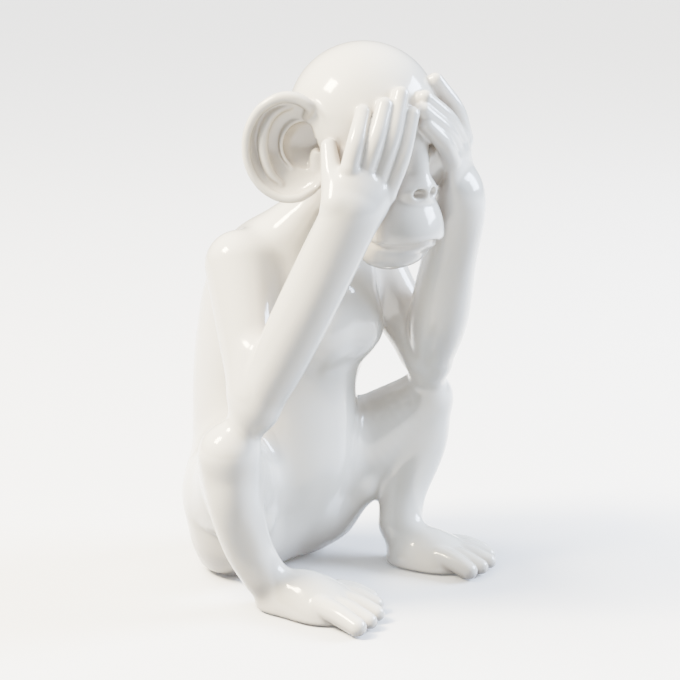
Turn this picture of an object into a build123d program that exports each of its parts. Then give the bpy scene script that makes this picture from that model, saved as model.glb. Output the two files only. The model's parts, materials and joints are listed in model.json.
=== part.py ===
from build123d import *
import math
import os

# A glazed ceramic monkey that squats with its hands over its eyes, 300 mm high.
# It faces -Y, its right side is -X, and the origin is the middle of the seat's resting face.
# The torso and head are hollow castings and the ears and limbs are solid castings. Round keys in
# sockets locate each casting on the next before the whole figure is glazed.
# Spread is measured sideways, reach forward of the seat's middle, and height from the shelf.

SIDES = {"right": -1, "left": 1}
UP = Vector(0, 0, 1)

# Joints between castings
key_clearance = 0.15
neck_key_radius = 9
limb_key_radius = 6
elbow_key_radius = 4.5
ear_key_radius = 3.5
key_length = 7
key_wall_depth = 4

# Felt pads
pad_thickness = 1
pad_inset = 2

# Torso, an egg that leans forward from the seat to the neck
torso_height = 236
torso_half_width = 48
torso_half_depth = 52
torso_lean = 72
torso_wall = 7
torso_cavity_top = 188
vent_radius = 6
# Height, forward lean, half width and half depth at each level
torso_level_shares = [
    (0.000, 0.000, 0.77, 0.40),
    (0.026, 0.014, 0.84, 0.52),
    (0.123, 0.090, 0.88, 0.73),
    (0.251, 0.160, 0.95, 0.87),
    (0.357, 0.174, 0.95, 0.89),
    (0.451, 0.183, 0.95, 0.89),
    (0.523, 0.243, 0.97, 0.94),
    (0.600, 0.326, 0.99, 1.00),
    (0.694, 0.368, 0.99, 0.92),
    (0.779, 0.410, 0.94, 0.73),
    (0.838, 0.500, 0.80, 0.61),
    (0.885, 0.653, 0.58, 0.45),
    (0.940, 0.833, 0.38, 0.35),
    (1.000, 1.000, 0.35, 0.31),
]
chest_spread = 15
chest_reach = 60
chest_height = 141
chest_radius = 18
# Where the neck leaves the shoulders, as height and forward lean
neck_root_shares = (0.885, 0.653)

# Head, a round cranium with cheekbones over a deep muzzle
head_reach = 81
head_height = 260.5
head_radius = 39.5
head_wall = 6
cheek_spread = 24
cheek_lead = 19
cheek_drop = 24.5
cheek_radius = 14
muzzle_half_width = 22
muzzle_length = 48
muzzle_root = 10
muzzle_height = 61
muzzle_drop = 73.5
# Height up the muzzle, front reach and half width at each level
muzzle_level_shares = [
    (0.00, 0.65, 0.39),
    (0.07, 0.80, 0.68),
    (0.22, 0.97, 0.95),
    (0.41, 0.98, 0.98),
    (0.63, 0.93, 0.70),
    (0.80, 0.90, 0.48),
    (1.00, 0.84, 0.32),
]
mouth_level_shares = muzzle_level_shares[2]
nostril_level_shares = muzzle_level_shares[4]
mouth_groove_depth = 0.9
mouth_groove_height = 1.2
nostril_radius = 2.3
nostril_spread = 5
nostril_depth = 4

# Ears, cupped discs with a rolled rim, on a short root
ear_half_height = 24.4
ear_half_width = 20.7
ear_rim_radius = 3.7
ear_shell = 3.2
ear_cup_depth = 9
ear_turn = 52
ear_stand_off = 9.5
ear_set_back = 5.3
ear_drop = 11.8
ear_root_radius = 9
ear_root_inset = 7
ear_cup_shares = [1.00, 0.80, 0.45]

# Arms
shoulder_spread = 46
shoulder_reach = 35
shoulder_height = 183
shoulder_radius = 18.5
upper_arm_radius = 15
elbow_radius = 12
elbow_inset = 8.4
elbow_lead = 10.8
elbow_seat = 0.5
forearm_low_radii = {"right": 14.5, "left": 17}
forearm_high_radius = 15.5
forearm_shares = [0.30, 0.66]
wrist_spreads = {"right": 44.5, "left": 41}
# The wrist's place ahead of the head's middle and below it
wrist_lead = 31
wrist_drop = 46
wrist_half_width = 14.5
wrist_half_depth = 12.5

# Hands
palm_lengths = {"right": 26, "left": 34}
palm_leans = {"right": 31, "left": 16}
palm_turn = 21
palm_half_widths = {"right": 16.5, "left": 14.5}
palm_half_thickness = 8.5
knuckle_half_thickness = 6
finger_radius = 4.8
fingertip_radius = 4.1
finger_arch = 3
fingertip_bed_share = 0.7
hands_meet = -4
hands_gap = 0.6
# Sideways and upward angle of each fingertip on the cranium, index finger first
fingertip_angles = {
    "right": [(47, 10), (32, 15), (18.5, 22), (12, 8)],
    "left": [(32, 30), (3, 18), (-1, 9.5), (1, 0)],
}
# Where each finger leaves the palm, across it toward the thumb and along it from the wrist
knuckle_shares = [(0.78, 0.92), (0.28, 1.00), (-0.24, 0.97), (-0.72, 0.86)]
thumb_radius = 5.5
thumb_tip_angles = {"right": (69, -10), "left": (70, -8)}
thumb_root_shares = (0.66, 0.20)

# Legs
knee_spread = 76.4
knee_reach = 58.2
knee_height = 91
knee_radius = 15.5
hip_spread = 27
hip_reach = 12
hip_height = 30
hip_radius = 28
hip_key_share = 0.6
haunch_out = 6.5
haunch_lead = 1.5
haunch_rise = 20
haunch_radius = 28.5
thigh_root_radius = 26.5
thigh_rise = 4.5
thigh_half_width = 22
thigh_half_height = 26
calf_share = 0.33
calf_out = 3
calf_back = 3.9
calf_half_width = 14.5
calf_half_depth = 18
shin_share = 0.7
shin_out = 3.3
shin_back = 5.9
shin_radius = 13
ankle_spreads = {"right": 52.5, "left": 50}
ankle_reach = 63.5
ankle_height = 15
ankle_radius = 12.5

# Feet, both fanned toward the figure's left
heel_spread = 48.7
heel_reach = 67.5
foot_lengths = {"right": 60, "left": 52}
foot_turns = {"right": 20, "left": 27}
foot_middle_height = 2
heel_half_width = 13
heel_half_height = 16
instep_half_width = 15.5
instep_half_height = 18.5
ball_half_width = 18.5
ball_half_height = 16
forefoot_half_width = 18
forefoot_half_height = 12.5
toe_radius = 5.4
toe_tip_radius = 4.4
great_toe_radius = 6.4
great_toe_tip_radius = 5
toe_root_height = 9
# Along and across the foot: the heel, instep, ball and forefoot, and the root and tip of each toe
foot_line_shares = {
    "right": [(-0.01, 0.00), (0.20, 0.03), (0.42, 0.05), (0.60, 0.06)],
    "left": [(0.06, 0.01), (0.22, 0.03), (0.42, 0.07), (0.60, 0.08)],
}
toe_root_shares = [(0.36, -0.17), (0.44, -0.04), (0.48, 0.09), (0.44, 0.21), (0.36, 0.30)]
toe_tip_shares = {
    "right": [(0.88, -0.33), (0.91, -0.14), (0.90, 0.05), (0.81, 0.24), (0.70, 0.38)],
    "left": [(0.81, -0.32), (0.90, -0.14), (0.94, 0.06), (0.89, 0.25), (0.79, 0.40)],
}

# How far out and how wide a rounded end is at each of its sections
dome_shares = [(0.50, 0.866), (0.80, 0.600), (0.96, 0.280)]

# A block that is larger than the figure, for cutting
beyond = 4 * torso_height


def place(side, spread, reach, height):
    """A point on one side of the figure."""
    return Vector(side * spread, -reach, height)


def between(start, end, share=0.5):
    """The point part of the way from start to end."""
    return start + (end - start) * share


def limb(points, sizes, across):
    """Loft elliptical sections along the points, with domed ends."""
    last = len(points) - 1
    sections = []
    for index, (point, (width, depth)) in enumerate(zip(points, sizes)):
        along = (points[min(index + 1, last)] - points[max(index - 1, 0)]).normalized()
        plane = Plane(origin=point, x_dir=across - along * across.dot(along), z_dir=along)
        outward = -1 if index == 0 else 1
        dome = [
            plane.offset(outward * out * min(width, depth)) * Ellipse(width * wide, depth * wide)
            for out, wide in dome_shares
        ]
        if index == 0:
            sections += dome[::-1]
        sections.append(plane * Ellipse(width, depth))
        if index == last:
            sections += dome
    return loft(sections)


def taper(start, end, start_radius, end_radius):
    """A tapered bar between two balls, tangent to both."""
    length = (end - start).length
    lean = math.asin((start_radius - end_radius) / length)
    low, high = (lean - math.pi / 2) / 2, (lean + math.pi / 2) / 2
    far = UP * length
    side, low_side, high_side = (Vector(math.cos(a), 0, math.sin(a)) for a in (lean, low, high))
    profile = [
        ThreePointArc(-UP * start_radius, low_side * start_radius, side * start_radius),
        Line(side * start_radius, far + side * end_radius),
        ThreePointArc(far + side * end_radius, far + high_side * end_radius, far + UP * end_radius),
        Line(far + UP * end_radius, -UP * start_radius),
    ]
    return Plane(origin=start, z_dir=end - start) * revolve(make_face(profile), Axis.Z)


def rod(start, end, radius):
    """A round bar from start to end."""
    plane = Plane(origin=start, z_dir=end - start)
    return extrude(plane * Circle(radius), (end - start).length)


def half_space(point, normal):
    """A block that fills the side of a plane that its normal points to."""
    return extrude(Plane(origin=point, z_dir=normal) * Rectangle(beyond, beyond), beyond)


def key_across(point, direction, radius):
    """A key that crosses a flat joint at point, and the socket that takes it."""
    tip = point + direction * key_length
    key = rod(point - direction * key_length, tip, radius)
    socket = rod(point, tip + direction * key_clearance, radius + key_clearance)
    return key, socket


def key_in_wall(start, end, radius, key_floor, socket_floor):
    """A key that ends part way through a hollow casting's wall, and its socket."""
    return rod(start, end, radius) - key_floor, rod(start, end, radius + key_clearance) - socket_floor


# Torso


def torso_form(inset):
    """The torso's outer form with its breast, drawn in by inset all round."""
    sections = []
    for height, lean, width, depth in torso_level_shares:
        level = pad_thickness + height * (torso_height - pad_thickness)
        outline = Ellipse(width * torso_half_width - inset, depth * torso_half_depth - inset)
        sections.append(Pos(0, -lean * torso_lean, level) * outline)
    right, left = (place(side, chest_spread, chest_reach, chest_height) for side in SIDES.values())
    return loft(sections) + taper(right, left, chest_radius - inset, chest_radius - inset)


def make_torso(outer):
    """The torso with its cavity and the vent through its floor."""
    floor = pad_thickness + torso_wall
    room = half_space(UP * floor, UP) - half_space(UP * torso_cavity_top, UP)
    vent = rod(Vector(0, 0, 0), UP * (floor + pad_thickness), vent_radius)
    return outer - (torso_form(torso_wall) & room) - vent


def make_seat_pad():
    """The felt under the seat."""
    lean, width, depth = torso_level_shares[0][1:]
    outline = Ellipse(width * torso_half_width - pad_inset, depth * torso_half_depth - pad_inset)
    return extrude(Pos(0, -lean * torso_lean, 0) * outline, pad_thickness)


# Head


def muzzle_section(reach, width, inset):
    """A level section of the muzzle, from its root under the cranium to its front."""
    half_depth = (reach * muzzle_length - muzzle_root) / 2
    middle = head_reach + muzzle_root + half_depth
    return Pos(0, -middle, 0) * Ellipse(width * muzzle_half_width - inset, half_depth - inset)


def muzzle_level(height, inset=0):
    """The height from the shelf of a level of the muzzle."""
    return head_height - muzzle_drop + inset + height * (muzzle_height - 2 * inset)


def head_form(inset):
    """Cranium, cheekbones and muzzle, drawn in by inset all round."""
    form = Pos(0, -head_reach, head_height) * Sphere(head_radius - inset)
    for side in SIDES.values():
        cheek = place(side, cheek_spread, head_reach + cheek_lead, head_height - cheek_drop)
        form += Pos(cheek) * Sphere(cheek_radius - inset)
    sections = [
        Pos(0, 0, muzzle_level(height, inset)) * muzzle_section(reach, width, inset)
        for height, reach, width in muzzle_level_shares
    ]
    return form + loft(sections)


def mouth_groove():
    """A shallow slot round the front of the muzzle."""
    height, reach, width = mouth_level_shares
    outside = muzzle_section(reach, width, -mouth_groove_depth)
    band = outside - muzzle_section(reach, width, mouth_groove_depth)
    slot = extrude(Pos(0, 0, muzzle_level(height)) * band, mouth_groove_height)
    front = half_space(Vector(0, -(head_reach + muzzle_length / 2), 0), Vector(0, -1, 0))
    return slot & front


def nostril(side):
    """A round hole into the top of the nose."""
    height, reach, _ = nostril_level_shares
    level = muzzle_level(height)
    front = head_reach + reach * muzzle_length
    start = place(side, nostril_spread, front + nostril_depth, level)
    return rod(start, place(side, nostril_spread, front - nostril_depth, level), nostril_radius)


def make_head(outer):
    """The hollow head with its mouth line and nostrils."""
    nostrils = [nostril(side) for side in SIDES.values()]
    return outer - head_form(head_wall) - mouth_groove() - nostrils


def on_cranium(side, angles, lift):
    """A point that stands off the cranium by lift, at a sideways and an upward angle."""
    turn, rise = (math.radians(angle) for angle in angles)
    radius = head_radius + lift
    spread = radius * math.cos(rise) * math.sin(turn)
    reach = head_reach + radius * math.cos(rise) * math.cos(turn)
    return place(side, spread, reach, head_height + radius * math.sin(rise))


# Ears


def ear_cup(plane, grow, sink):
    """The bowl of an ear, grown sideways and sunk behind its rim."""
    sections = [
        plane.offset(-sink - ear_cup_depth * (1 - share**2))
        * Ellipse(share * ear_half_width + grow, share * ear_half_height + grow)
        for share in ear_cup_shares
    ]
    return loft(sections)


def make_left_ear():
    """A cupped ear with a rolled rim and a root that reaches into the head, and its key's ends."""
    turn = math.radians(ear_turn)
    spread, reach = head_radius + ear_stand_off, head_reach - ear_set_back
    middle = place(SIDES["left"], spread, reach, head_height - ear_drop)
    facing = Vector(math.sin(turn), -math.cos(turn), 0)
    plane = Plane(origin=middle, x_dir=UP.cross(facing), z_dir=facing)
    back = middle - plane.x_dir * ear_root_inset - facing * ear_cup_depth
    head_middle = Vector(0, -head_reach, head_height)
    ear = ear_cup(plane, ear_shell / 2, ear_shell) + rod(back, head_middle, ear_root_radius)
    rim_line = plane * Ellipse(ear_half_width, ear_half_height).edge()
    rim = sweep(Plane(origin=rim_line @ 0, z_dir=rim_line % 0) * Circle(ear_rim_radius), path=rim_line)
    return ear - ear_cup(plane, 0, 0) + rim, back, head_middle


# Legs and feet


def foot_point(side_name, shares, height):
    """A point of the foot from its shares along and across the foot."""
    along_share, across_share = shares
    length = foot_lengths[side_name]
    turn = math.radians(foot_turns[side_name])
    along = Vector(math.sin(turn), -math.cos(turn), 0)
    across = Vector(math.cos(turn), math.sin(turn), 0)
    heel = place(SIDES[side_name], heel_spread, heel_reach, 0)
    return heel + along * (along_share * length) + across * (across_share * length) + UP * height


def foot_form(side_name):
    """Heel, instep and five toes, before the sole is cut flat."""
    line = [foot_point(side_name, shares, foot_middle_height) for shares in foot_line_shares[side_name]]
    sizes = [
        (heel_half_width, heel_half_height),
        (instep_half_width, instep_half_height),
        (ball_half_width, ball_half_height),
        (forefoot_half_width, forefoot_half_height),
    ]
    foot = limb(line, sizes, (line[-1] - line[0]).cross(UP).normalized())
    for number, (root_shares, tip_shares) in enumerate(zip(toe_root_shares, toe_tip_shares[side_name])):
        root_radius = great_toe_radius if number == 0 else toe_radius
        tip_radius = great_toe_tip_radius if number == 0 else toe_tip_radius
        root = foot_point(side_name, root_shares, toe_root_height)
        tip = foot_point(side_name, tip_shares, pad_thickness / 2 + tip_radius)
        foot += taper(root, tip, root_radius, tip_radius)
    return foot


def make_foot_pad(side_name):
    """The felt under the heel and ball of a foot."""
    heel, _, ball, _ = (foot_point(side_name, shares, 0) for shares in foot_line_shares[side_name])
    rounds = [
        Pos(heel) * Circle(heel_half_width - pad_inset),
        Pos(ball) * Circle(ball_half_width - pad_inset),
    ]
    outline = make_hull([edge for circle in rounds for edge in circle.edges()])
    return extrude(outline, pad_thickness)


def make_leg(side_name):
    """Thigh and lower leg with foot, parted at the knee, and the ends of the hip's key."""
    side = SIDES[side_name]
    knee = place(side, knee_spread, knee_reach, knee_height)
    hip = place(side, hip_spread, hip_reach, hip_height)
    ankle = place(side, ankle_spreads[side_name], ankle_reach, ankle_height)
    across = (hip - knee).cross(UP).normalized()
    haunch = hip + place(side, haunch_out, haunch_lead, haunch_rise)
    thigh = taper(hip, haunch, hip_radius, haunch_radius)
    thigh += limb(
        [haunch, between(knee, hip) + UP * thigh_rise, knee],
        [
            (thigh_root_radius, thigh_root_radius),
            (thigh_half_width, thigh_half_height),
            (knee_radius, knee_radius),
        ],
        across,
    )
    lower_leg = limb(
        [
            knee,
            between(knee, ankle, calf_share) + place(side, calf_out, -calf_back, 0),
            between(knee, ankle, shin_share) + place(side, shin_out, -shin_back, 0),
            ankle,
        ],
        [
            (knee_radius, knee_radius),
            (calf_half_width, calf_half_depth),
            (shin_radius, shin_radius),
            (ankle_radius, ankle_radius),
        ],
        across,
    )
    lower_leg = (lower_leg + foot_form(side_name)) & half_space(UP * pad_thickness, UP)
    toward_hip = ((hip - knee).normalized() - (ankle - knee).normalized()).normalized()
    behind_knee = half_space(knee, toward_hip)
    key, socket = key_across(knee, toward_hip, limb_key_radius)
    thigh = (thigh & behind_knee) - socket
    lower_leg = lower_leg - behind_knee + key
    return thigh, lower_leg, hip, between(hip, knee, hip_key_share)


# Arms and hands


def hand_form(side_name, wrist, along, across):
    """Four fingers that bend over the brow, and the thumb along the temple."""
    side = SIDES[side_name]
    length, half_width = palm_lengths[side_name], palm_half_widths[side_name]
    head_middle = Vector(0, -head_reach, head_height)
    bed = fingertip_radius * fingertip_bed_share
    digits = []
    for (across_share, along_share), angles in zip(knuckle_shares, fingertip_angles[side_name]):
        root = wrist + along * (length * along_share) + across * (half_width * across_share)
        tip = on_cranium(side, angles, bed)
        middle = between(root, tip)
        middle += (middle - head_middle).normalized() * finger_arch
        digits.append(taper(root, middle, finger_radius, fingertip_radius))
        digits.append(taper(middle, tip, finger_radius, fingertip_radius))
    across_share, along_share = thumb_root_shares
    root = wrist + along * (length * along_share) + across * (half_width * across_share)
    tip = on_cranium(side, thumb_tip_angles[side_name], fingertip_radius)
    digits.append(taper(root, tip, thumb_radius, fingertip_radius))
    return digits


def make_arm(side_name):
    """Upper arm and forearm with hand, parted at the elbow that rests on the knee, and the shoulder."""
    side = SIDES[side_name]
    shoulder = place(side, shoulder_spread, shoulder_reach, shoulder_height)
    rise = math.sqrt((knee_radius + elbow_radius - elbow_seat) ** 2 - elbow_inset**2 - elbow_lead**2)
    elbow = place(side, knee_spread - elbow_inset, knee_reach + elbow_lead, knee_height + rise)
    wrist = place(side, wrist_spreads[side_name], head_reach + wrist_lead, head_height - wrist_drop)
    upper_arm = limb(
        [shoulder, between(shoulder, elbow), elbow],
        [(radius, radius) for radius in (shoulder_radius, upper_arm_radius, elbow_radius)],
        Vector(side, 0, 0),
    )
    turn, lean = math.radians(palm_turn), math.radians(palm_leans[side_name])
    inward = Vector(-side * math.cos(turn), -math.sin(turn), 0)
    along = inward * math.sin(lean) + UP * math.cos(lean)
    across = UP * math.sin(lean) - inward * math.cos(lean)
    knuckles = wrist + along * palm_lengths[side_name]
    low, high = (between(elbow, wrist, share) for share in forearm_shares)
    low_radius, palm_half_width = forearm_low_radii[side_name], palm_half_widths[side_name]
    forearm = limb(
        [elbow, low, high, wrist, between(wrist, knuckles), knuckles],
        [
            (elbow_radius, elbow_radius),
            (low_radius, low_radius),
            (forearm_high_radius, forearm_high_radius),
            (wrist_half_width, wrist_half_depth),
            (palm_half_width, palm_half_thickness),
            (palm_half_width, knuckle_half_thickness),
        ],
        across,
    )
    for digit in hand_form(side_name, wrist, along, across):
        forearm += digit
    forearm &= half_space(Vector(hands_meet + side * hands_gap / 2, 0, 0), Vector(side, 0, 0))
    forward = ((wrist - elbow).normalized() - (shoulder - elbow).normalized()).normalized()
    before_elbow = half_space(elbow, forward)
    key, socket = key_across(elbow, forward, elbow_key_radius)
    return upper_arm - before_elbow + key, (forearm & before_elbow) - socket, shoulder


# Assembly

torso_outer = torso_form(0)
torso_floors = torso_form(key_wall_depth), torso_form(key_wall_depth + key_clearance)
head_outer = head_form(0)
head_floors = head_form(key_wall_depth), head_form(key_wall_depth + key_clearance)
parts = {
    "head": make_head(head_outer),
    "torso": make_torso(torso_outer) - head_outer,
    "seat_pad": make_seat_pad(),
}

neck_height, neck_lean = neck_root_shares
neck_root = Vector(0, -torso_lean * neck_lean, torso_height * neck_height)
head_middle = Vector(0, -head_reach, head_height)
toward_neck = (neck_root - head_middle).normalized()
neck_keys = [head_middle + toward_neck * (head_radius + reach) for reach in (key_length, -key_length)]
key, socket = key_in_wall(*neck_keys, neck_key_radius, *head_floors)
parts["torso"] += key
parts["head"] -= socket

left_ear, ear_back, ear_key_end = make_left_ear()
key, ear_socket = key_in_wall(ear_back, ear_key_end, ear_key_radius, *head_floors)
left_ear = left_ear - head_outer + key
ears = {
    "left": (left_ear, ear_socket),
    "right": (mirror(left_ear, Plane.YZ), mirror(ear_socket, Plane.YZ)),
}

for name in SIDES:
    thigh, lower_leg, hip, thigh_middle = make_leg(name)
    key, socket = key_in_wall(thigh_middle, hip, limb_key_radius, *torso_floors)
    parts[f"{name}_thigh"] = thigh - torso_outer + key
    parts["torso"] -= socket
    parts[f"{name}_lower_leg"] = lower_leg
    parts[f"{name}_foot_pad"] = make_foot_pad(name)

    upper_arm, forearm, shoulder = make_arm(name)
    key, socket = key_in_wall(shoulder, Vector(0, shoulder.Y, shoulder.Z), limb_key_radius, *torso_floors)
    parts[f"{name}_upper_arm"] = upper_arm - torso_outer - thigh - lower_leg + key
    parts["torso"] -= socket
    parts[f"{name}_forearm"] = forearm - head_outer - thigh - lower_leg

    ear, socket = ears[name]
    parts[f"{name}_ear"] = ear - parts[f"{name}_forearm"]
    parts["head"] -= socket

os.makedirs("parts", exist_ok=True)
for name, solid in parts.items():
    export_step(solid, f"parts/{name}.step")
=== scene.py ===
import json
import math
from collections import namedtuple

import bmesh
import bpy
import numpy as np
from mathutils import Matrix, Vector

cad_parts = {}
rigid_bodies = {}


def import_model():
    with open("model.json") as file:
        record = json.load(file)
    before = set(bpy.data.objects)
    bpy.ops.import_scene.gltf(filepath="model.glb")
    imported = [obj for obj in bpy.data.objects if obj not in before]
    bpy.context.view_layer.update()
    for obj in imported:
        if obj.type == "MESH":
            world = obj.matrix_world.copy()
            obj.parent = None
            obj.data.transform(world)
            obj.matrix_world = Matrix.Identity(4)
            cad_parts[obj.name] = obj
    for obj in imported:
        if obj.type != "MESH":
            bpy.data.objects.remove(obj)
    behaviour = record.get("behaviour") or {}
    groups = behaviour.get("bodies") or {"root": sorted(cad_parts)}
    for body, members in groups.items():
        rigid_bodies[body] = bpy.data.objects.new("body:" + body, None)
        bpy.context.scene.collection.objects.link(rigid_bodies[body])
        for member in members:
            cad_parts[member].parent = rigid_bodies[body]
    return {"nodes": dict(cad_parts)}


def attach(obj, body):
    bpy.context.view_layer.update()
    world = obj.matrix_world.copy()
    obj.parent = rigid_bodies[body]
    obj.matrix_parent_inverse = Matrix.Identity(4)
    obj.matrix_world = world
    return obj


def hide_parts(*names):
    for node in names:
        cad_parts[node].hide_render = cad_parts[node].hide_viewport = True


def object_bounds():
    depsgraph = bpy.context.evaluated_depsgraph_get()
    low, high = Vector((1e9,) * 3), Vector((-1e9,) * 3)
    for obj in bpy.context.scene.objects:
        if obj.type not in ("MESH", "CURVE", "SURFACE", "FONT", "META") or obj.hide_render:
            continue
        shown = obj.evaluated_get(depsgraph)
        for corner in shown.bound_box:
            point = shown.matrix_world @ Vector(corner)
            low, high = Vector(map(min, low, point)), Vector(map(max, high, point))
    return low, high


# A glazed ceramic monkey that squats with its hands over its eyes.
# The figure is modelled like clay: smooth shapes are added to and cut from a grid of distances to
# the surface, and one skin is drawn round the result. The skin is then parted where the castings
# meet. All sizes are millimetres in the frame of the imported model, and the skin is made in metres.

for thing in list(bpy.data.objects):
    bpy.data.objects.remove(thing)
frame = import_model()
size_at_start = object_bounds()

MM = 0.001
SIDES = {"right": -1, "left": 1}
GRID_STEP = 1.0
GRID_MARGIN = 6
FAR = 30.0
SPLINE_STEPS = 8
SMOOTH_PASSES = 3
SETTLE_ROUNDS = 3
SEARCH_STEP = GRID_STEP / 8
# How far outside its box a shape may still be the nearest one
OWNER_MARGIN = 8
# How many grid steps round its box a shape is worked out, besides its rounded join
WINDOW_STEPS = 3
# Settling divides by the square of the slope, which is taken as no less than this
LEAST_SLOPE = 0.05
# Keeps a sampled point off the last layer of the grid
LAST_LAYER = 1.001
TINY = 1e-6

# Torso: height, forward reach, half width and half depth at each level
torso_levels = [
    (1, 0, 37, 21),
    (7, 1, 40.5, 27),
    (30, 6.5, 42.5, 38),
    (60, 11.5, 45.5, 45.5),
    (85, 12.5, 45.5, 46.5),
    (107, 13.2, 45.5, 46.5),
    (124, 17.5, 46.5, 49),
    (142, 23.5, 47.5, 52),
    (164, 26.5, 47.5, 48),
    (184, 29.5, 45, 38),
    (198, 36, 38.5, 31.5),
    (209, 47, 28, 23.5),
    (222, 60, 18.5, 18),
    (236, 72, 17, 16),
]
# How far the torso's two ends are rounded
torso_edge = 7
chest_spread = 14
chest_reach = 58
chest_height = 144
chest_radius = 17

# Head
head_middle = (0, -81, 260.5)
cranium_radius = 39.5
# Muzzle: height, reach of its front, reach of its back, half width at each level
muzzle_levels = [
    (185, 105, 88, 9),
    (189.5, 113, 88, 15.5),
    (194.5, 120.5, 90, 19.5),
    (198.7, 125.5, 91, 21),
    (202.5, 129, 92, 22),
    (212, 127.5, 92, 21.5),
    (221, 124, 94, 18),
    (230, 121, 94, 13),
    (240, 118, 96, 9),
    (248, 115, 98, 7),
]
muzzle_edge = 5
nose_middle = (0, -117.5, 226.5)
nose_radii = (13, 9, 7)
nostril_spread = 5
nostril_reach = 125.5
nostril_height = 225.6
nostril_radii = (3.8, 4.5, 2.7)
bridge_start = (0, -115, 251)
bridge_end = (0, -118.5, 232)
cheek_middle = (24, 100, 236)
cheek_radius = 14
bridge_radius = 6
eye_middle = (20, 106, 243)
eye_radius = 13
jaw_middle = (0, -103, 192.5)
jaw_radii = (17, 14.5, 8)
# Mouth: height of the line between the lips at each angle from the front
mouth_line = [(0, 200.4), (27, 198.9), (56, 199.3), (76, 200.4), (86, 201.4)]
mouth_reach = 100
mouth_groove = 1.9
mouth_end_groove = 0.6

# Ears
ear_spread = 49
ear_reach = 75.7
ear_height = 248.7
ear_turn = 50
ear_half_width = 21.9
ear_half_height = 25.7
ear_bowl_depth = 9.5
ear_bowl_inset = 1
ear_bowl_rise = 1.5
ear_shell_depth = 13.5
ear_shell_margin = 1.5
ear_shell_sunk = 1
# A wide shallow form that takes the shell's front off at the rim
ear_front_radii = (200, 200, 60)
# Points of the ridges, as shares outward and upward, with the depth below the rim and the radius
ear_rim = [
    (-0.38, 0.60, 4.5, 1.8),
    (-0.48, 0.80, 1.0, 2.8),
    (-0.17, 0.98, 0, 3.1),
    (0.26, 0.97, 0, 2.9),
    (0.71, 0.71, 0, 2.5),
    (0.97, 0.26, 0, 2.2),
    (0.97, -0.26, 0, 2.1),
    (0.71, -0.71, 0, 2.1),
    (0.26, -0.97, 0, 2.2),
    (-0.20, -0.98, 0, 2.3),
    (-0.52, -0.84, 1.0, 2.0),
]
ear_fold = [
    (-0.02, 0.80, 4.4, 1.5),
    (0.25, 0.74, 4.0, 2.4),
    (0.50, 0.52, 3.4, 2.7),
    (0.62, 0.14, 3.2, 2.8),
    (0.58, -0.22, 3.2, 2.7),
    (0.43, -0.54, 3.8, 2.4),
    (0.20, -0.72, 4.4, 1.5),
]
ear_inner_fold = [
    (-0.26, 0.52, 6.8, 1.0),
    (-0.02, 0.45, 6.6, 1.4),
    (0.15, 0.26, 6.4, 1.5),
    (0.20, 0.03, 6.4, 1.5),
    (0.14, -0.20, 6.6, 1.4),
    (-0.04, -0.42, 6.9, 1.0),
]
ear_hollow = (-0.37, 0.03, 7)
ear_hollow_shares = (0.54, 0.47)
ear_hollow_depth = 4.8
tragus = (-0.60, -0.25, 7)
tragus_radii = (3.5, 6, 3.5)

# Arms
shoulder = (46, 35, 183)
upper_arm_sizes = [(18.5, 18.5), (15, 15.5), (11.5, 12)]
elbow = (68, 69, 114.5)
elbow_fold = [(66, 68, 122), (61, 67, 141)]
elbow_fold_sizes = [(13, 13), (10, 10)]
forearm_bulges = (0.30, 0.66)
wrist = {"right": (44.5, 112, 214.5), "left": (41, 112, 214.5)}
forearm_sizes = {
    "right": [(11.3, 11.3), (14.2, 14.2), (15, 15), (15.5, 11.5)],
    "left": [(11.5, 11.5), (17, 16.5), (14.5, 15), (15.5, 14)],
}

# Hands
palm_length = {"right": 26, "left": 34}
palm_lean = {"right": 31, "left": 16}
palm_turn = 21
palm_half_width = {"right": 16.5, "left": 14.5}
palm_half_thickness = {"right": 9.5, "left": 6.5}
palm_shift = {"right": 0, "left": 1.5}
knuckle_half_thickness = {"right": 6.5, "left": 5.5}
palm_end_short = 4
finger_radius = 4.8
fingertip_radius = 4.1
finger_arch = 3
finger_middle_share = 0.96
thumb_root_swell = 1
fingertip_lift = 2.8
finger_tip_angles = {
    "right": [(47, 10), (32, 15), (18.5, 22), (12, 8)],
    "left": [(33, 28), (3, 18), (-1, 9.5), (1, 0)],
}
knuckle_places = [(0.78, 0.92), (0.28, 1.00), (-0.24, 0.97), (-0.72, 0.86)]
thumb_radius = 5.5
thumb_tip_angles = {"right": (71, -13), "left": (70, -8)}
thumb_root = (0.66, 0.20)

# Legs
hip = (27, 12, 30)
knee = (76.4, 58.2, 91)
haunch = (33.5, 13.5, 50)
thigh_sizes = [(28, 28), (28, 29), (22, 26), (15.5, 15.5)]
thigh_rise = 4.5
thigh_underside = [(34, 26, 24), (42, 42, 40)]
thigh_underside_sizes = [(12.3, 12.3), (8.4, 8.4)]
shin_points = {
    "right": [(76.4, 58.2, 90), (71.5, 56, 66), (63, 56, 38), (56, 60, 21)],
    "left": [(76.4, 58.2, 90), (71.5, 56, 66), (61, 56, 38), (53.5, 60, 21)],
}
shin_sizes = [(15, 15), (14.5, 18), (13, 13.5), (11.5, 12.5)]

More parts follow.
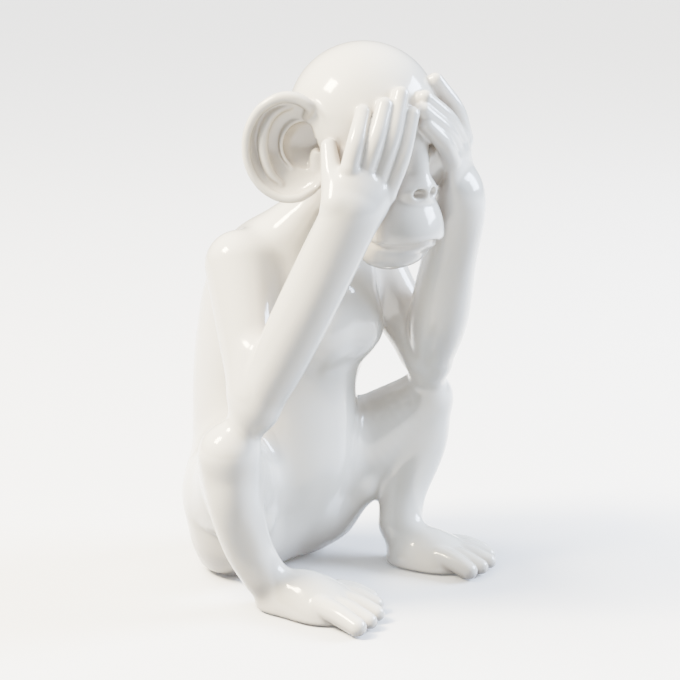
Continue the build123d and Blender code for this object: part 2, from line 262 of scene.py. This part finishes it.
# Feet
heel = (48.7, 67.5)
foot_length = {"right": 60, "left": 52}
foot_turn = {"right": 20, "left": 27}
foot_line = {
    "right": [(0.03, 0.00, 2), (0.20, 0.02, 3), (0.40, 0.03, 2), (0.55, 0.05, 1)],
    "left": [(0.11, 0.01, 2), (0.22, 0.02, 2), (0.40, 0.05, 2), (0.55, 0.07, 1)],
}
foot_sizes = [(13, 16), (16, 20), (19.5, 16.5), (18.5, 11.5)]
toe_roots = [(0.46, -0.16), (0.50, -0.04), (0.52, 0.09), (0.50, 0.20), (0.44, 0.29)]
toe_tips = {
    "right": [(0.88, -0.33), (0.91, -0.14), (0.90, 0.05), (0.81, 0.24), (0.70, 0.38)],
    "left": [(0.81, -0.32), (0.90, -0.14), (0.94, 0.06), (0.89, 0.25), (0.79, 0.40)],
}
toe_root_radius = 5.4
toe_tip_radius = 4.4
great_toe_root_radius = 6.4
great_toe_tip_radius = 5
toe_root_height = 9
toe_bend_height = 8.2
sole_height = 1

# Width of the rounded join between each form and what is there
rounding = {
    "chest": 10,
    "thigh": 13,
    "thigh_underside": 9,
    "shin": 5,
    "foot": 8,
    "toe": 1,
    "sole": 1,
    "upper_arm": 9,
    "elbow_fold": 8,
    "finger": 1.4,
    "thumb": 4,
    "hands": 2,
    "cranium": 7,
    "muzzle": 7,
    "cheek": 6,
    "eye": 6,
    "jaw": 5,
    "bridge": 8,
    "nose": 4,
    "mouth": 0.6,
    "nostril": 1.2,
    "ear_front": 1,
    "ear_bowl": 1,
    "ear_ridge": 1.2,
    "ear": 2.5,
    "ear_hollow": 0.8,
    "tragus": 3,
}

# Painted shade on the glaze: the share of open sky and the colour there, in hollows and on open
# faces; where other surfaces cover the sky the colour is darkened to stand in for shade
painted_shade_hollow = (0.2, (0.52, 0.465, 0.41, 1))
painted_shade_open = (0.9, (0.88, 0.85, 0.765, 1))
# How far off other surfaces count as covering the sky for the painted shade, in metres
painted_shade_distance = 0.04
painted_shade_samples = 8
# Felt: the two ends of its mottling
felt_dark = (0, (0.50, 0.49, 0.45, 1))
felt_light = (1, (0.70, 0.69, 0.65, 1))

# Stage, in metres
floor_half = 6.0
dome_radius = 12
dome_subdivisions = 5
dome_strength = 2.1
room_color = (0.90, 0.94, 1, 1)
room_strength = (0.44, 1.2)
# Area lights: name, place, size, power and colour
area_lights = [
    ("key", (-1.2, 0.55, 1.55), 0.5, 155, (1, 0.85, 0.56)),
    ("fill", (1.4, -1.0, 0.9), 0.9, 140, (0.66, 0.78, 1)),
]
light_target = (0, -0.06, 0.15)
sun_energy = 10
sun_angle = 40
sun_color = (1, 0.97, 0.92)
sun_direction = (-0.45, 0.35, 1)

# The photograph's camera
camera_place = (-0.7006, -0.7406, 0.3767)
camera_target = (0, -0.064, 0.150)
camera_sensor = 36
camera_lens = 98.5
photo_size = 680
photo_shift = -20

Shape = namedtuple("Shape", "distance low high")


# Shapes


def soft_min(a, b, blend):
    """The nearer of two distances, with a rounded join as wide as blend."""
    if blend <= 0:
        return np.minimum(a, b)
    overlap = np.maximum(blend - np.abs(a - b), 0) / blend
    return np.minimum(a, b) - overlap * overlap * (blend / 4)


def spline(points):
    """Points along a smooth curve through the given rows of numbers."""
    rows = np.array(points, float)
    padded = np.vstack([2 * rows[0] - rows[1], rows, 2 * rows[-1] - rows[-2]])
    out = []
    for p0, p1, p2, p3 in zip(padded, padded[1:], padded[2:], padded[3:]):
        square = 2 * p0 - 5 * p1 + 4 * p2 - p3
        cube = 3 * (p1 - p2) + p3 - p0
        for t in np.arange(SPLINE_STEPS) / SPLINE_STEPS:
            out.append(p1 + 0.5 * t * (p2 - p0 + t * (square + t * cube)))
    return np.array(out + [rows[-1]])


def nearest_on(a, b, places):
    """How far along a straight run the nearest point is, and the offset of the places from it."""
    run = b - a
    x, y, z = places
    share = ((x - a[0]) * run[0] + (y - a[1]) * run[1] + (z - a[2]) * run[2]) / run.dot(run)
    share = np.clip(share, 0, 1)
    return share, [q - (a[i] + share * run[i]) for i, q in enumerate(places)]


def limb(points, sizes, across=(1, 0, 0)):
    """A smooth limb through points, with a half width and a half depth at each.

    The width lies along across.
    """
    rows = spline([(*point, *size) for point, size in zip(points, sizes)])
    centres, halves = rows[:, :3], rows[:, 3:]
    side = np.array(across, float) / np.linalg.norm(across)

    def distance(x, y, z):
        best = None
        runs = zip(centres, centres[1:], halves, halves[1:])
        for a, b, (width_a, depth_a), (width_b, depth_b) in runs:
            share, (dx, dy, dz) = nearest_on(a, b, (x, y, z))
            sideways = dx * side[0] + dy * side[1] + dz * side[2]
            rest = np.maximum(dx * dx + dy * dy + dz * dz - sideways * sideways, 0)
            width = width_a + share * (width_b - width_a)
            depth = depth_a + share * (depth_b - depth_a)
            ratio = np.sqrt((sideways / width) ** 2 + rest / depth**2)
            near = (ratio - 1) * np.minimum(width, depth)
            best = near if best is None else np.minimum(best, near)
        return best

    reach = halves.max()
    return Shape(distance, centres.min(0) - reach, centres.max(0) + reach)


def ball(middle, radii, axes=np.eye(3)):
    """An ellipsoid with its radii along the rows of axes."""
    middle, radii = np.array(middle, float), np.array(radii, float)

    def distance(x, y, z):
        offset = [q - m for q, m in zip((x, y, z), middle)]
        local = [sum(axis[i] * offset[i] for i in range(3)) for axis in axes]
        scaled = np.sqrt(sum((q / r) ** 2 for q, r in zip(local, radii)))
        steep = np.sqrt(sum((q / (r * r)) ** 2 for q, r in zip(local, radii)))
        return scaled * (scaled - 1) / np.maximum(steep, TINY)

    return Shape(distance, middle - radii.max(), middle + radii.max())


def tower(levels, edge):
    """A form with an ellipse at each level, given as height, middle, half width and half depth."""
    rows = spline(levels)

    def distance(x, y, z):
        middle, width, depth = (np.interp(z, rows[:, 0], rows[:, i]) for i in (1, 2, 3))
        ratio = np.sqrt((x / width) ** 2 + ((y + middle) / depth) ** 2)
        wall = (ratio - 1) * np.minimum(width, depth)
        ends = np.maximum(rows[0, 0] - z, z - rows[-1, 0])
        return -soft_min(-wall, -ends + 0 * wall, edge)

    widest = rows[:, 2].max()
    front, back = (rows[:, 1] + rows[:, 3]).max(), (rows[:, 1] - rows[:, 3]).min()
    low, high = (-widest, -front, rows[0, 0]), (widest, -back, rows[-1, 0])
    return Shape(distance, np.array(low), np.array(high))


def wire(points, radius, end_radius=None):
    """A round bar through points that may thin over the last quarter at both ends."""
    count = len(points) - 1
    thin = radius if end_radius is None else end_radius
    fades = [min(1, 4 * min(index, count - index) / count) for index in range(count + 1)]
    radii = [thin + fade * (radius - thin) for fade in fades]
    centres = np.array(points, float)

    def distance(x, y, z):
        best = None
        for a, b, radius_a, radius_b in zip(centres, centres[1:], radii, radii[1:]):
            share, (dx, dy, dz) = nearest_on(a, b, (x, y, z))
            near = np.sqrt(dx * dx + dy * dy + dz * dz) - (radius_a + share * (radius_b - radius_a))
            best = near if best is None else np.minimum(best, near)
        return best

    return Shape(distance, centres.min(0) - radius, centres.max(0) + radius)


class Clay:
    """A grid of distances to the surface of what is added to and cut from it."""

    def __init__(self, low, high):
        self.low = np.array(low, float)
        self.high = np.array(high, float)
        count = np.ceil((self.high - self.low) / GRID_STEP).astype(int) + 1
        self.axes = [
            (start + GRID_STEP * np.arange(number)).astype(np.float32)
            for start, number in zip(self.low, count)
        ]
        self.field = np.full(count, FAR, np.float32)
        self.shapes = []

    def window(self, shape, reach):
        """The part of the grid within reach of a shape, and the places of its points."""
        slices = []
        for i in range(3):
            first = math.floor((shape.low[i] - reach - self.low[i]) / GRID_STEP)
            last = math.ceil((shape.high[i] + reach - self.low[i]) / GRID_STEP) + 1
            slices.append(slice(max(first, 0), max(last, 0)))
        x, y, z = (axis[part] for axis, part in zip(self.axes, slices))
        return tuple(slices), (x[:, None, None], y[None, :, None], z[None, None, :])

    def add(self, node, shape, blend=0.0):
        """Add a shape of a node, blended into what is there."""
        part, places = self.window(shape, blend + WINDOW_STEPS * GRID_STEP)
        self.field[part] = soft_min(self.field[part], shape.distance(*places), blend)
        self.shapes.append((node, shape))

    def cut(self, shape, blend=0.0):
        """Cut a shape away, with a rounded edge."""
        part, places = self.window(shape, blend + WINDOW_STEPS * GRID_STEP)
        self.field[part] = -soft_min(-self.field[part], shape.distance(*places), blend)

    def smooth(self, count):
        """Even out small steps in what is there."""
        for _ in range(count):
            for axis in range(3):
                beside = np.roll(self.field, 1, axis) + np.roll(self.field, -1, axis)
                self.field = 0.5 * self.field + 0.25 * beside

    def join(self, other, blend):
        """Join another block of clay on the same grid."""
        self.field = soft_min(self.field, other.field, blend)
        self.shapes += other.shapes


# The figure's parts


def place(side, point):
    """A point (spread, reach, height) on one side of the figure."""
    spread, reach, height = point
    return np.array([side * spread, -reach, height], float)


def both(*radii):
    """Round sections for a limb, as equal half widths and half depths."""
    return [(radius, radius) for radius in radii]


def add_torso(clay):
    """The leaning body with its breast, up to the neck."""
    clay.add("torso", tower(torso_levels, torso_edge))
    for side in SIDES.values():
        middle = place(side, (chest_spread, chest_reach, chest_height))
        clay.add("torso", ball(middle, (chest_radius,) * 3), rounding["chest"])


def add_leg(clay, name):
    """Thigh, shin and foot of one side."""
    side = SIDES[name]
    hip_point, knee_point = place(side, hip), place(side, knee)
    middle = (hip_point + knee_point) / 2 + np.array([0, 0, thigh_rise])
    line = [hip_point, place(side, haunch), middle, knee_point]
    across = np.cross(knee_point - hip_point, (0, 0, 1))
    clay.add(f"{name}_thigh", limb(line, thigh_sizes, across), rounding["thigh"])
    underside = [place(side, point) for point in thigh_underside]
    filling = limb(underside, thigh_underside_sizes)
    clay.add(f"{name}_thigh", filling, rounding["thigh_underside"])
    shin = [place(side, point) for point in shin_points[name]]
    clay.add(f"{name}_lower_leg", limb(shin, shin_sizes, across), rounding["shin"])
    across, at = foot_frame(name)
    line = [at(*point) for point in foot_line[name]]
    clay.add(f"{name}_lower_leg", limb(line, foot_sizes, across), rounding["foot"])


def foot_frame(name):
    """The direction across one foot, and a function that gives a point of it.

    The point is given by its shares of the foot's length along and across it, and its height.
    """
    turn = math.radians(foot_turn[name])
    along = np.array([math.sin(turn), -math.cos(turn), 0])
    across = np.array([math.cos(turn), math.sin(turn), 0])
    start = place(SIDES[name], (*heel, 0))
    length = foot_length[name]

    def at(far, out, height):
        flat = start + along * (far * length) + across * (out * length)
        return flat + np.array([0, 0, height])

    return across, at


def add_toes(clay, name):
    """Five long toes."""
    _, at = foot_frame(name)
    for index, (root, tip) in enumerate(zip(toe_roots, toe_tips[name])):
        root_radius = great_toe_root_radius if index == 0 else toe_root_radius
        tip_radius = great_toe_tip_radius if index == 0 else toe_tip_radius
        bend = [(r + t) / 2 for r, t in zip(root, tip)]
        tip_height = tip_radius + sole_height / 2
        points = [at(*root, toe_root_height), at(*bend, toe_bend_height), at(*tip, tip_height)]
        sizes = both(root_radius, (root_radius + tip_radius) / 2, tip_radius)
        clay.add(f"{name}_lower_leg", limb(points, sizes), rounding["toe"])


def on_head(side, angles, lift):
    """A point that stands off the cranium, at a sideways and an upward angle."""
    turn, rise = np.radians(angles)
    radius = cranium_radius + lift
    sideways = side * math.cos(rise) * math.sin(turn)
    back = -math.cos(rise) * math.cos(turn)
    return np.array(head_middle) + radius * np.array((sideways, back, math.sin(rise)))


def add_arms(clay):
    """Both upper arms, blended into the shoulders."""
    for name, side in SIDES.items():
        start, end = place(side, shoulder), place(side, elbow)
        line = [start, (start + end) / 2, end]
        clay.add(f"{name}_upper_arm", limb(line, upper_arm_sizes), rounding["upper_arm"])
        fold = [place(side, point) for point in elbow_fold]
        clay.add(f"{name}_upper_arm", limb(fold, elbow_fold_sizes), rounding["elbow_fold"])


def hand_frame(name):
    """The wrist, and the directions along and across one hand."""
    side = SIDES[name]
    turn, lean = math.radians(palm_turn), math.radians(palm_lean[name])
    inward = np.array([-side * math.cos(turn), -math.sin(turn), 0])
    along = inward * math.sin(lean) + np.array([0, 0, math.cos(lean)])
    across = np.array([0, 0, math.sin(lean)]) - inward * math.cos(lean)
    start = place(side, wrist[name]) + side * palm_shift[name] * np.cross(across, along)
    return start, along, across


def add_forearm(clay, name):
    """Forearm and palm of one side."""
    elbow_point, end = place(SIDES[name], elbow), place(SIDES[name], wrist[name])
    points = [elbow_point + (end - elbow_point) * share for share in (0, *forearm_bulges, 1)]
    start, along, across = hand_frame(name)
    length, width = palm_length[name], palm_half_width[name]
    palm = [(width, palm_half_thickness[name]), (width, knuckle_half_thickness[name])]
    points += [start + along * (length / 2), start + along * (length - palm_end_short)]
    clay.add(f"{name}_forearm", limb(points, forearm_sizes[name] + palm, across))


def add_fingers(clay, name):
    """Thumb and fingers of one side, bent over the cranium."""
    side, node = SIDES[name], f"{name}_forearm"
    start, along, across = hand_frame(name)
    length, width = palm_length[name], palm_half_width[name]
    for (out, far), angles in zip(knuckle_places, finger_tip_angles[name]):
        root = start + along * (length * far) + across * (width * out)
        tip = on_head(side, angles, fingertip_lift)
        middle = (root + tip) / 2
        outward = middle - np.array(head_middle)
        middle = middle + outward / np.linalg.norm(outward) * finger_arch
        sizes = both(finger_radius, finger_radius * finger_middle_share, fingertip_radius)
        clay.add(node, limb([root, middle, tip], sizes), rounding["finger"])
    out, far = thumb_root
    root = start + along * (length * far) + across * (width * out)
    tip = on_head(side, thumb_tip_angles[name], fingertip_radius)
    sizes = both(thumb_radius + thumb_root_swell, thumb_radius, fingertip_radius)
    clay.add(node, limb([root, (root + tip) / 2, tip], sizes), rounding["thumb"])


def add_head(clay):
    """Cranium, muzzle, nose, jaw and mouth."""
    clay.add("head", ball(head_middle, (cranium_radius,) * 3), rounding["cranium"])
    rows = [
        (height, (front + back) / 2, width, (front - back) / 2)
        for height, front, back, width in muzzle_levels
    ]
    clay.add("head", tower(rows, muzzle_edge), rounding["muzzle"])
    for side in SIDES.values():
        clay.add("head", ball(place(side, cheek_middle), (cheek_radius,) * 3), rounding["cheek"])
        clay.add("head", ball(place(side, eye_middle), (eye_radius,) * 3), rounding["eye"])
    clay.add("head", ball(jaw_middle, jaw_radii), rounding["jaw"])
    clay.add("head", wire([bridge_start, bridge_end], bridge_radius), rounding["bridge"])
    clay.add("head", ball(nose_middle, nose_radii), rounding["nose"])
    far_half = [(-angle, height) for angle, height in reversed(mouth_line[1:])]
    groove = []
    for angle, height in spline(far_half + mouth_line):
        turn = math.radians(angle)
        outward = np.array([math.sin(turn), -math.cos(turn), 0])
        groove.append(on_surface(clay, np.array([0, -mouth_reach, height]), outward))
    clay.cut(wire(groove, mouth_groove, mouth_end_groove), rounding["mouth"])
    for side in SIDES.values():
        middle = place(side, (nostril_spread, nostril_reach, nostril_height))
        clay.cut(ball(middle, nostril_radii), rounding["nostril"])


def add_ear(clay, name):
    """A cupped ear with a rolled rim, two folds, a hollow and a tragus."""
    side, node = SIDES[name], f"{name}_ear"
    turn = math.radians(ear_turn)
    facing = np.array([side * math.sin(turn), -math.cos(turn), 0])
    right = np.array([side * math.cos(turn), math.sin(turn), 0])
    up = np.array([0, 0, 1.0])
    middle = place(side, (ear_spread, ear_reach, ear_height))
    axes = [right, up, facing]
    wide, tall = ear_half_width + ear_shell_margin, ear_half_height + ear_shell_margin
    shell = ball(middle - facing * ear_shell_sunk, (wide, tall, ear_shell_depth), axes)
    ear = Clay(clay.low, clay.high)
    ear.add(node, shell)
    front = ball(middle + facing * ear_front_radii[2], ear_front_radii, axes)
    ear.cut(Shape(front.distance, shell.low, shell.high), rounding["ear_front"])
    wide, tall = ear_half_width - ear_bowl_inset, ear_half_height - ear_bowl_inset
    bowl = ball(middle + facing * ear_bowl_rise, (wide, tall, ear_bowl_depth), axes)
    ear.cut(bowl, rounding["ear_bowl"])

    def at(out, rise, sunk):
        flat = middle + right * (out * ear_half_width) + up * (rise * ear_half_height)
        return flat - facing * sunk

    for ridge in (ear_rim, ear_fold, ear_inner_fold):
        line = [at(*row[:3]) for row in ridge]
        ear.add(node, limb(line, both(*(row[3] for row in ridge))), rounding["ear_ridge"])
    clay.join(ear, rounding["ear"])
    wide, tall = ear_hollow_shares
    hollow_radii = (wide * ear_half_width, tall * ear_half_height, ear_hollow_depth)
    clay.cut(ball(at(*ear_hollow), hollow_radii, axes), rounding["ear_hollow"])
    clay.add(node, ball(at(*tragus), tragus_radii, axes), rounding["tragus"])


def sculpt():
    """The whole figure as clay."""
    low, high = (np.array(corner) / MM for corner in size_at_start)
    low, high = low - GRID_MARGIN, high + GRID_MARGIN
    body = Clay(low, high)
    add_torso(body)
    add_arms(body)
    for name in SIDES:
        add_leg(body, name)
    body.smooth(SMOOTH_PASSES)
    for name in SIDES:
        add_toes(body, name)
    sole = Shape(lambda x, y, z: z - sole_height + 0 * x + 0 * y, low, high)
    body.cut(sole, rounding["sole"])
    add_head(body)
    for name in SIDES:
        add_ear(body, name)
    hands = Clay(low, high)
    for name in SIDES:
        add_forearm(hands, name)
    hands.smooth(SMOOTH_PASSES)
    for name in SIDES:
        add_fingers(hands, name)
    body.join(hands, rounding["hands"])
    return body


# From clay to skin


def skin(clay):
    """One vertex in each cell that the surface passes through, and the quads between them."""
    field = clay.field
    inside = field < 0
    corner_steps = [(i, j, k) for i in (0, 1) for j in (0, 1) for k in (0, 1)]
    size = np.array(field.shape) - 1
    count = sum(
        inside[i : i + size[0], j : j + size[1], k : k + size[2]].astype(np.int8)
        for i, j, k in corner_steps
    )
    cells = np.argwhere((count > 0) & (count < 8))
    number = np.full(size, -1, np.int64)
    number[tuple(cells.T)] = np.arange(len(cells))
    values = {step: field[tuple((cells + step).T)] for step in corner_steps}
    total = np.zeros((len(cells), 3))
    hits = np.zeros(len(cells))
    for step in corner_steps:
        for axis in range(3):
            if step[axis]:
                continue
            other = tuple(s + (i == axis) for i, s in enumerate(step))
            a, b = values[step], values[other]
            crossed = (a < 0) != (b < 0)
            share = np.where(crossed, a / np.where(crossed, a - b, 1), 0)
            point = np.array(step, float) + share[:, None] * np.eye(3)[axis]
            total += np.where(crossed[:, None], point, 0)
            hits += crossed
    places = cells + total / hits[:, None]
    quads = []
    steps = np.eye(3, dtype=int)
    for axis in range(3):
        ahead, one, two = steps[axis], steps[(axis + 1) % 3], steps[(axis + 2) % 3]
        start = inside[tuple(slice(0, n - a) for n, a in zip(field.shape, ahead))]
        end = inside[tuple(slice(a, n) for n, a in zip(field.shape, ahead))]
        for flip, edges in ((False, start & ~end), (True, end & ~start)):
            edge = np.argwhere(edges)
            edge = edge[(edge[:, (axis + 1) % 3] > 0) & (edge[:, (axis + 2) % 3] > 0)]
            edge = edge[(edge <= size - 1).all(1)]
            loop = [edge - one - two, edge - two, edge, edge - one]
            quad = np.stack([number[tuple(corner.T)] for corner in loop], 1)
            quads.append(quad[:, ::-1] if flip else quad)
    return places * GRID_STEP + clay.low, np.concatenate(quads)


def sample(field, clay, points):
    """Values of a grid at points between its own, by weighting the eight round each."""
    local = (points - clay.low) / GRID_STEP
    local = np.clip(local, 0, np.array(field.shape[:3]) - LAST_LAYER)
    base = local.astype(int)
    part = local - base
    value = 0
    for i in (0, 1):
        for j in (0, 1):
            for k in (0, 1):
                weight = (
                    (part[:, 0] if i else 1 - part[:, 0])
                    * (part[:, 1] if j else 1 - part[:, 1])
                    * (part[:, 2] if k else 1 - part[:, 2])
                )
                corner = field[base[:, 0] + i, base[:, 1] + j, base[:, 2] + k]
                value = value + (corner * weight if field.ndim == 3 else corner * weight[:, None])
    return value


def settle(clay, points):
    """Move points onto the surface, and give them with their normals."""
    slopes = np.stack(np.gradient(clay.field, GRID_STEP), -1).astype(np.float32)
    for _ in range(SETTLE_ROUNDS):
        slope = sample(slopes, clay, points)
        off = sample(clay.field, clay, points)
        points = points - slope * (off / np.maximum((slope**2).sum(1), LEAST_SLOPE))[:, None]
    slope = sample(slopes, clay, points)
    return points, slope / np.linalg.norm(slope, axis=1)[:, None]


def owners(clay, points):
    """For each point, the node of the shape that is nearest."""
    nodes = sorted({node for node, _ in clay.shapes})
    best = np.full((len(nodes), len(points)), FAR)
    for node, shape in clay.shapes:
        above, below = points > shape.low - OWNER_MARGIN, points < shape.high + OWNER_MARGIN
        near = (above & below).all(1)
        row = best[nodes.index(node)]
        row[near] = np.minimum(row[near], shape.distance(*points[near].T))
    return nodes, best.argmin(0)


def on_surface(clay, start, direction):
    """The first place where a line from inside the clay comes out of it."""
    points = start + np.arange(0, FAR, SEARCH_STEP)[:, None] * direction
    return points[(sample(clay.field, clay, points) > 0).argmax()]


def new_object(name, data):
    """An object in the scene."""
    thing = bpy.data.objects.new(name, data)
    bpy.context.scene.collection.objects.link(thing)
    return thing


def make_pieces(clay, material):
    """One smooth piece for each casting, all cut from the same skin."""
    points, quads = skin(clay)
    points, normals = settle(clay, points)
    nodes, owner = owners(clay, points[quads].mean(1))
    for index, node in enumerate(nodes):
        faces = quads[owner == index]
        used, faces = np.unique(faces, return_inverse=True)
        faces = faces.reshape(-1, 4)
        mesh = bpy.data.meshes.new(f"glazed_{node}")
        mesh.from_pydata((points[used] * MM).tolist(), [], faces.tolist())
        mesh.shade_smooth()
        mesh.normals_split_custom_set_from_vertices(normals[used].tolist())
        mesh.materials.append(material)
        piece = new_object(f"glazed_{node}", mesh)
        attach(piece, "root")
        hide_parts(node)


# Materials


def new_material(name):
    """A material with its nodes, its links and its main shader."""
    material = bpy.data.materials.new(name)
    material.use_nodes = True
    tree = material.node_tree
    return material, tree.nodes, tree.links, tree.nodes["Principled BSDF"]


def set_inputs(node, values):
    """Give a node the named constants."""
    for name, value in values.items():
        node.inputs[name].default_value = value


def add_ramp(nodes, *stops):
    """A colour ramp between two stops, each a position and a colour."""
    ramp = nodes.new("ShaderNodeValToRGB")
    for element, (position, color) in zip(ramp.color_ramp.elements, stops):
        element.position = position
        element.color = color
    return ramp


def glaze_material():
    """White gloss glaze over fired clay, with painted shade: darker and creamier in hollows where
    other surfaces cover the sky.
    """
    material, nodes, links, shader = new_material("white_glaze")
    set_inputs(shader, {"Roughness": 0.16, "IOR": 1.5, "Coat Weight": 0.6, "Coat Roughness": 0.04})
    noise = nodes.new("ShaderNodeTexNoise")
    set_inputs(noise, {"Scale": 45, "Detail": 2})
    bump = nodes.new("ShaderNodeBump")
    set_inputs(bump, {"Strength": 0.12, "Distance": 0.0006})
    places = nodes.new("ShaderNodeTexCoord")
    # Painted shade: ambient occlusion darkens the base colour in hollows, creases and between parts
    shade_occlusion = nodes.new("ShaderNodeAmbientOcclusion")
    shade_occlusion.samples = painted_shade_samples
    set_inputs(shade_occlusion, {"Distance": painted_shade_distance})
    painted_shade_tint = add_ramp(nodes, painted_shade_hollow, painted_shade_open)
    links.new(shade_occlusion.outputs["AO"], painted_shade_tint.inputs["Fac"])
    links.new(painted_shade_tint.outputs["Color"], shader.inputs["Base Color"])
    links.new(places.outputs["Object"], noise.inputs["Vector"])
    links.new(noise.outputs["Fac"], bump.inputs["Height"])
    links.new(bump.outputs["Normal"], shader.inputs["Normal"])
    return material


def felt_material():
    """Pressed felt of the pads."""
    material, nodes, links, shader = new_material("pressed_felt")
    set_inputs(shader, {"Roughness": 0.95})
    noise = nodes.new("ShaderNodeTexNoise")
    set_inputs(noise, {"Scale": 1800})
    ramp = add_ramp(nodes, felt_dark, felt_light)
    links.new(noise.outputs["Fac"], ramp.inputs["Fac"])
    links.new(ramp.outputs["Color"], shader.inputs["Base Color"])
    return material


def paper_material():
    """The white ground."""
    material, _, _, shader = new_material("white_ground")
    set_inputs(shader, {"Base Color": (0.95, 0.95, 0.95, 1), "Roughness": 0.9})
    return material


# Stage


def add_floor():
    """A wide white floor under the figure, which throws no diffuse light back on it."""
    mesh = bpy.data.meshes.new("floor")
    corners = [(x * floor_half, y * floor_half, 0) for x, y in ((-1, -1), (1, -1), (1, 1), (-1, 1))]
    mesh.from_pydata(corners, [], [(0, 1, 2, 3)])
    mesh.materials.append(paper_material())
    floor = new_object("floor", mesh)
    floor.visible_diffuse = False


def add_backdrop():
    """A pale dome that only the camera sees, so it throws no light on the figure."""
    material, _, _, shader = new_material("pale_backdrop")
    set_inputs(shader, {"Base Color": (0, 0, 0, 1), "Emission Color": (1, 1, 1, 1)})
    set_inputs(shader, {"Emission Strength": dome_strength})
    mesh = bpy.data.meshes.new("backdrop")
    form = bmesh.new()
    bmesh.ops.create_icosphere(form, subdivisions=dome_subdivisions, radius=dome_radius)
    form.to_mesh(mesh)
    form.free()
    mesh.materials.append(material)
    dome = new_object("backdrop", mesh)
    dome.visible_diffuse = False
    dome.visible_glossy = False
    dome.visible_transmission = False
    dome.visible_shadow = False


def add_area_light(name, place_m, size, power, color):
    """A soft square light that faces the figure."""
    data = bpy.data.lights.new(name, "AREA")
    data.size = size
    data.energy = power
    data.color = color
    light = new_object(name, data)
    light.location = place_m
    toward = Vector(light_target) - Vector(place_m)
    light.rotation_euler = toward.to_track_quat("-Z", "Y").to_euler()


def add_world():
    """A room that is dimmer at the horizon than overhead, and faintly blue."""
    world = bpy.data.worlds.new("white_room")
    world.use_nodes = True
    nodes, links = world.node_tree.nodes, world.node_tree.links
    ground = nodes["Background"]
    set_inputs(ground, {"Color": room_color})
    direction = nodes.new("ShaderNodeTexCoord")
    split = nodes.new("ShaderNodeSeparateXYZ")
    rise = nodes.new("ShaderNodeMapRange")
    low, high = room_strength
    set_inputs(rise, {"From Min": 0, "From Max": 1, "To Min": low, "To Max": high})
    links.new(direction.outputs["Generated"], split.inputs["Vector"])
    links.new(split.outputs["Z"], rise.inputs["Value"])
    links.new(rise.outputs["Result"], ground.inputs["Strength"])
    bpy.context.scene.world = world


def add_lights():
    """A warm key, a cool fill and a soft sun overhead that makes no highlights."""
    for row in area_lights:
        add_area_light(*row)
    sun = bpy.data.lights.new("sky", "SUN")
    sun.energy = sun_energy
    sun.angle = math.radians(sun_angle)
    sun.color = sun_color
    lamp = new_object("sky", sun)
    lamp.visible_glossy = False
    lamp.rotation_euler = Vector(sun_direction).to_track_quat("Z", "Y").to_euler()


def add_camera():
    """The photograph's camera."""
    target, place_m = Vector(camera_target), Vector(camera_place)
    data = bpy.data.cameras.new("camera")
    data.sensor_width = camera_sensor
    data.lens = camera_lens
    data.shift_y = photo_shift / photo_size
    camera = new_object("camera", data)
    camera.location = place_m
    camera.rotation_euler = (target - place_m).to_track_quat("-Z", "Y").to_euler()
    bpy.context.scene.camera = camera


add_floor()
add_backdrop()
add_world()
add_lights()
add_camera()
make_pieces(sculpt(), glaze_material())
felt = felt_material()
for node in ("seat_pad", "right_foot_pad", "left_foot_pad"):
    pad = frame["nodes"][node]
    pad.data.materials.clear()
    pad.data.materials.append(felt)
